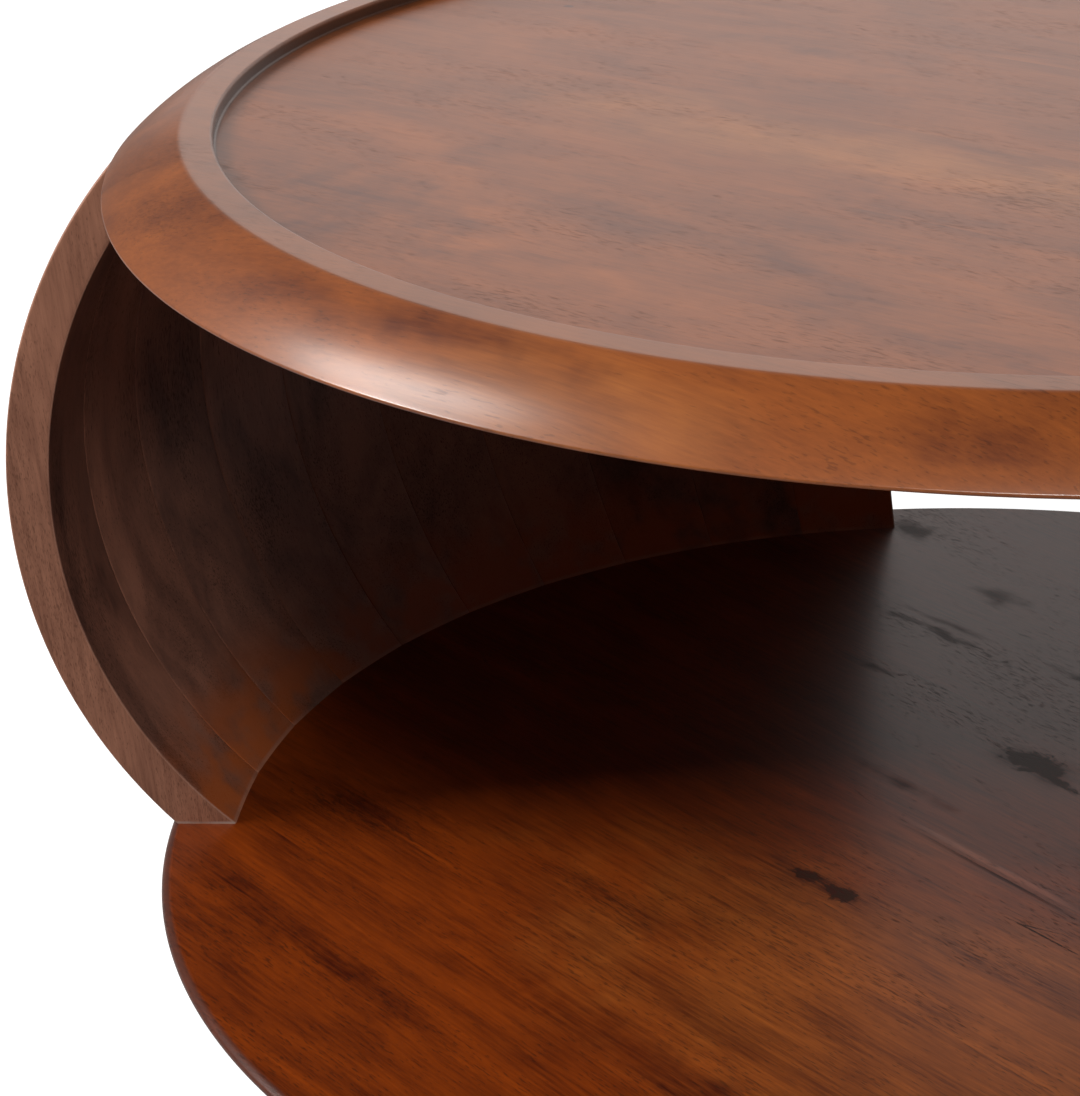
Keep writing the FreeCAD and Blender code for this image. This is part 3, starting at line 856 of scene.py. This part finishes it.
def base_material():
    """Darker and redder, with streaks, knots and cracks where the lacquer has sunk in, and painted shade on
    its rounded edge.
    """
    wood = new_wood("base_wood", pitch=0.012, wander=0.040, face=BASE_MARKS_FROM)
    tree = wood.tree
    amounts = Amounts(rings=0.50, streaks=0.40, fibre=1.0, cloud=0.8, dots=0.50)
    lacquer = Lacquer(coat=0.65, coat_roughness=0.23, roughness=0.42, bump=0.2)
    holes = upper_marks(wood, BASE_KNOTS + BASE_CRACKS, KNOT_CRUMPLE)
    shade = times_plus(tree, holes, -KNOT_SHADING, upper_marks(wood, BASE_SHADES, SHADE_CRUMPLE))
    speckle = grained(tree, wood.grain, along=260.0, across=520.0, detail=3.0, roughness=0.7)
    grit = spread(tree, speckle, low=0.40, high=0.56)
    knots = times(tree, holes, grit, clamp=True)
    dots = worked(tree, "MAXIMUM", knots, wood.figure["Pores"])
    light = mixed(tree, marks(wood, BASE_GOLD, GOLD_CRUMPLE), BASE_LIGHT, BASE_GOLDEN)
    colour = stained(wood, BASE_DARK, light, amounts, shade, dots)
    colour = mixed(tree, knots, colour, KNOT)
    # Painted shade darkens the base's rounded edge
    colour = ringed(wood, colour, BASE_RIM_FROM, BASE_RIM_TO, BASE_RIM_PAINTED_SHADE, amount=0.6)
    sunk = times_plus(tree, shade, SHADE_DULLING, lacquer.coat, clamp=True)
    return lacquered(wood, colour, times_plus(tree, dots, -KNOT_DULLING, sunk, clamp=True), lacquer)


def footed(wood, colour, glue, foot_orange):
    """The colour more orange towards the foot of a stave, and glue along its joint."""
    tree = wood.tree
    patches = grained(tree, wood.grain, along=45.0, across=35.0, detail=3.0)
    orange_height = spread(tree, wood.height, SHELF + FOOT_ORANGE_FADE[0], SHELF + FOOT_ORANGE_FADE[1], foot_orange, 0.0)
    glue_height = spread(tree, wood.height, SHELF + GLUE_FADE[0], SHELF + GLUE_FADE[1], glue, 0.0)
    orange_patches = spread(tree, patches, low=0.30, high=0.60)
    glue_patches = spread(tree, patches, low=0.40, high=0.55, to_low=0.35)
    colour = mixed(tree, times(tree, orange_height, orange_patches), colour, FOOT_ORANGE)
    return mixed(tree, times(tree, glue_height, glue_patches), colour, GLUE)


def stave_material(name, dark, light, pitch, wander, fineness, amounts, lacquer, glue, foot_orange):
    """The wood of one side of the staves, each of which has a tone of its own."""
    wood = new_wood(name, pitch, wander, fineness)
    shade = times(wood.tree, wood.own_tone, OWN_TONE_SHADING)
    colour = stained(wood, dark, light, amounts, shade, wood.figure["Pores"])
    return lacquered(wood, footed(wood, colour, glue, foot_orange), thin_at_pores(wood, lacquer.coat), lacquer)


def plain(name, colour, roughness):
    material = bpy.data.materials.new(name)
    material.use_nodes = True
    surface = material.node_tree.nodes["Principled BSDF"]
    surface.inputs["Base Color"].default_value = colour
    surface.inputs["Roughness"].default_value = roughness
    return material


top_wood = top_material()
base_wood = base_material()
wall_wood = stave_material(
    "wall_wood", dark=(0.100, 0.038, 0.024, 1), light=(0.34, 0.145, 0.090, 1),
    pitch=0.012, wander=0.030, fineness=1.4,
    amounts=Amounts(rings=0.4, streaks=0.5, fibre=0.6, cloud=2.0, dots=0.6),
    lacquer=Lacquer(coat=0.40, coat_roughness=0.34, roughness=0.50, bump=0.25), glue=0.3, foot_orange=0.9)
cut_wood = stave_material(
    "cut_wood", dark=(0.180, 0.070, 0.040, 1), light=(0.430, 0.195, 0.120, 1),
    pitch=0.006, wander=0.010, fineness=2.2,
    amounts=Amounts(rings=0.4, streaks=0.6, fibre=1.2, cloud=0.9, dots=0.35),
    lacquer=Lacquer(coat=0.20, coat_roughness=0.40, roughness=0.62, bump=0.4), glue=0.9, foot_orange=0.0)
# The rounded edges at a wall's free end: the cut wood made paler, a painted highlight along them
painted_highlight_wood = stave_material(
    "painted_highlight_wood", dark=(0.260, 0.120, 0.080, 1), light=(0.500, 0.270, 0.190, 1),
    pitch=0.006, wander=0.010, fineness=2.2,
    amounts=Amounts(rings=0.2, streaks=0.4, fibre=0.8, cloud=1.4, dots=0.3),
    lacquer=Lacquer(coat=0.30, coat_roughness=0.35, roughness=0.55, bump=0.2), glue=0.9, foot_orange=0.0)
outer_wood = stave_material(
    "outer_wood", dark=(0.100, 0.024, 0.007, 1), light=(0.36, 0.104, 0.030, 1),
    pitch=0.016, wander=0.040, fineness=1.0,
    amounts=Amounts(rings=0.45, streaks=0.35, fibre=0.7, cloud=1.1, dots=0.6),
    lacquer=Lacquer(coat=0.80, coat_roughness=0.26, roughness=0.45, bump=0.2), glue=0.2, foot_orange=0.0)
stave_woods = (wall_wood, cut_wood, painted_highlight_wood, outer_wood)
joinery_wood = plain("joinery_wood", colour=(0.55, 0.37, 0.21, 1), roughness=0.7)
felt = plain("glide_felt", colour=(0.03, 0.02, 0.015, 1), roughness=0.95)


# The table

rng = random.Random(GRAIN_SEED)
top_growths = board_growths(TOP_PITHS, TOP_UNDER)
base_growths = board_growths(BASE_PITHS, GLIDE)
boards("top", top_outline(), TOP_RADIUS, TOP_SEAMS, TOP_TURN, top_growths, top_wood)
boards("base", base_outline(), BASE_RADIUS, BASE_SEAMS, BASE_TURN, base_growths, base_wood)

for wall_side, facing in (("right", 0.0), ("left", 180.0)):
    for number in range(1, STAVES + 1):
        exposed = -1 if number == 1 else 1 if number == STAVES else 0
        stave(f"{wall_side}_stave_{number:02d}", facing + (number - (STAVES + 1) / 2) * STAVE_ANGLE, exposed)

# The hidden pieces and the glides keep their CAD shapes
for name, material in (("top_board_tongues", joinery_wood), ("base_board_tongues", joinery_wood),
                       ("head_tenons", joinery_wood), ("foot_tenons", joinery_wood), ("foot_glides", felt)):
    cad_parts[name].data.materials.clear()
    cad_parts[name].data.materials.append(material)


# Floor and surroundings

FLOOR_HALF = 6.0
FLOOR_GREY = (0.35, 0.35, 0.35, 1)
FLOOR_GLOW = 0.92
WHITE = (1, 1, 1, 1)
ROOM_COLOUR = (1.0, 0.91, 0.88, 1)

# A pale backdrop stands this way. It fades in between these cosines of the angle from
# its middle, and ends upward between these sines of the height.
BACKDROP_AZIMUTH = 119
BACKDROP_SIDES = (0.79, 0.91)
BACKDROP_TOP = (0.42, 0.62)
BACKDROP_GLOW = 0.56
# The rest of the room glows a little more that way
ROOM_SIDES = (0.0, 0.8)
ROOM_GLOW = (0.03, 0.14)


def seen_white(tree, shader, white):
    """Shows the white shader to the camera and the other one to all other rays."""
    path = put(tree, "ShaderNodeLightPath").outputs
    return put(tree, "ShaderNodeMixShader", i0=path["Is Camera Ray"], i1=shader, i2=white).outputs[0]


def direction(azimuth, elevation):
    turn, rise = math.radians(azimuth), math.radians(elevation)
    return Vector((math.cos(rise) * math.cos(turn), math.cos(rise) * math.sin(turn), math.sin(rise)))


def floor_material():
    """Grey to the object, and nearly white to the camera, where it still shows the shadow."""
    material = bpy.data.materials.new("floor")
    material.use_nodes = True
    tree = material.node_tree
    tree.nodes.clear()
    matt = put(tree, "ShaderNodeBsdfDiffuse", Color=FLOOR_GREY).outputs[0]
    glow = put(tree, "ShaderNodeEmission", Color=WHITE, Strength=FLOOR_GLOW).outputs[0]
    pale = put(tree, "ShaderNodeAddShader", i0=matt, i1=glow).outputs[0]
    put(tree, "ShaderNodeOutputMaterial", Surface=seen_white(tree, matt, pale))
    return material


floor_mesh = bpy.data.meshes.new("floor")
floor_corners = [(-FLOOR_HALF, -FLOOR_HALF, 0), (FLOOR_HALF, -FLOOR_HALF, 0),
                 (FLOOR_HALF, FLOOR_HALF, 0), (-FLOOR_HALF, FLOOR_HALF, 0)]
floor_mesh.from_pydata(floor_corners, [], [(0, 1, 2, 3)])
floor_mesh.materials.append(floor_material())
floor = bpy.data.objects.new("floor", floor_mesh)
bpy.context.scene.collection.objects.link(floor)

world = bpy.data.worlds.new("studio")
bpy.context.scene.world = world
world.use_nodes = True
studio = world.node_tree
studio.nodes.clear()
outlook = put(studio, "ShaderNodeTexCoord").outputs["Generated"]
up = put(studio, "ShaderNodeSeparateXYZ", Vector=outlook).outputs[2]
toward = put(studio, "ShaderNodeVectorMath", {"operation": "DOT_PRODUCT"}, i0=outlook,
             i1=direction(BACKDROP_AZIMUTH, 0)).outputs["Value"]
backdrop = times(studio, spread(studio, toward, *BACKDROP_SIDES), spread(studio, up, *BACKDROP_TOP, 1.0, 0.0))
room_glow = times_plus(studio, backdrop, BACKDROP_GLOW, spread(studio, toward, *ROOM_SIDES, *ROOM_GLOW))
room = put(studio, "ShaderNodeBackground", Color=ROOM_COLOUR, Strength=room_glow).outputs[0]
white = put(studio, "ShaderNodeBackground", Color=WHITE, Strength=1.0).outputs[0]
put(studio, "ShaderNodeOutputWorld", Surface=seen_white(studio, room, white))


# Lamps

LAMP_DISTANCE = 6.0
LAMP_COLOUR = (1.0, 0.96, 0.93)


def looking(right, upward, back, place):
    """The matrix of a lamp or camera that stands at a place and looks away from back."""
    matrix = Matrix((right, upward, back)).transposed().to_4x4()
    matrix.translation = place
    return matrix


def softbox(name, middle, width, height, radiance, toward=None):
    """A rectangular lamp in this direction. Its width lies level, or along the way
    toward another direction."""
    light = bpy.data.lights.new(name, "AREA")
    light.shape = "RECTANGLE"
    light.size = width
    light.size_y = height
    light.energy = radiance * math.pi * width * height
    light.color = LAMP_COLOUR
    lamp = bpy.data.objects.new(name, light)
    bpy.context.scene.collection.objects.link(lamp)
    back = direction(*middle)
    away = direction(*toward) if toward else Vector((back.y, -back.x, 0))
    side = (away - back * away.dot(back)).normalized()
    lamp.matrix_world = looking(side, back.cross(side), back, back * LAMP_DISTANCE)


softbox("key_box", middle=(-135, 34), width=1.5, height=1.6, radiance=34)
softbox("rim_strip", middle=(-150, 46.5), width=2.1, height=0.8, radiance=12.5, toward=(-139, 53.5))
softbox("fill_box", middle=(-48, 46), width=1.5, height=1.0, radiance=36)


# Camera, as the photograph's ellipses give it

EYE_PLACE = (0.91319, -1.23636, 0.83484)
EYE_FORWARD = (-0.65676, 0.64598, -0.389)
EYE_LEVEL = (0.7012, 0.7130, 0.0)
EYE_ROLL = -0.0245
LENS = 108.12
SENSOR = 36.0

view = bpy.data.cameras.new("view")
view.lens = LENS
view.sensor_width = SENSOR
view.sensor_fit = "AUTO"
eye = bpy.data.objects.new("view", view)
bpy.context.scene.collection.objects.link(eye)
forward, level = Vector(EYE_FORWARD).normalized(), Vector(EYE_LEVEL).normalized()
rise = level.cross(forward)
right = math.cos(EYE_ROLL) * level + math.sin(EYE_ROLL) * rise
upward = math.cos(EYE_ROLL) * rise - math.sin(EYE_ROLL) * level
eye.matrix_world = looking(right, upward, -forward, EYE_PLACE)
bpy.context.scene.camera = eye
bpy.context.scene.view_settings.view_transform = "Standard"
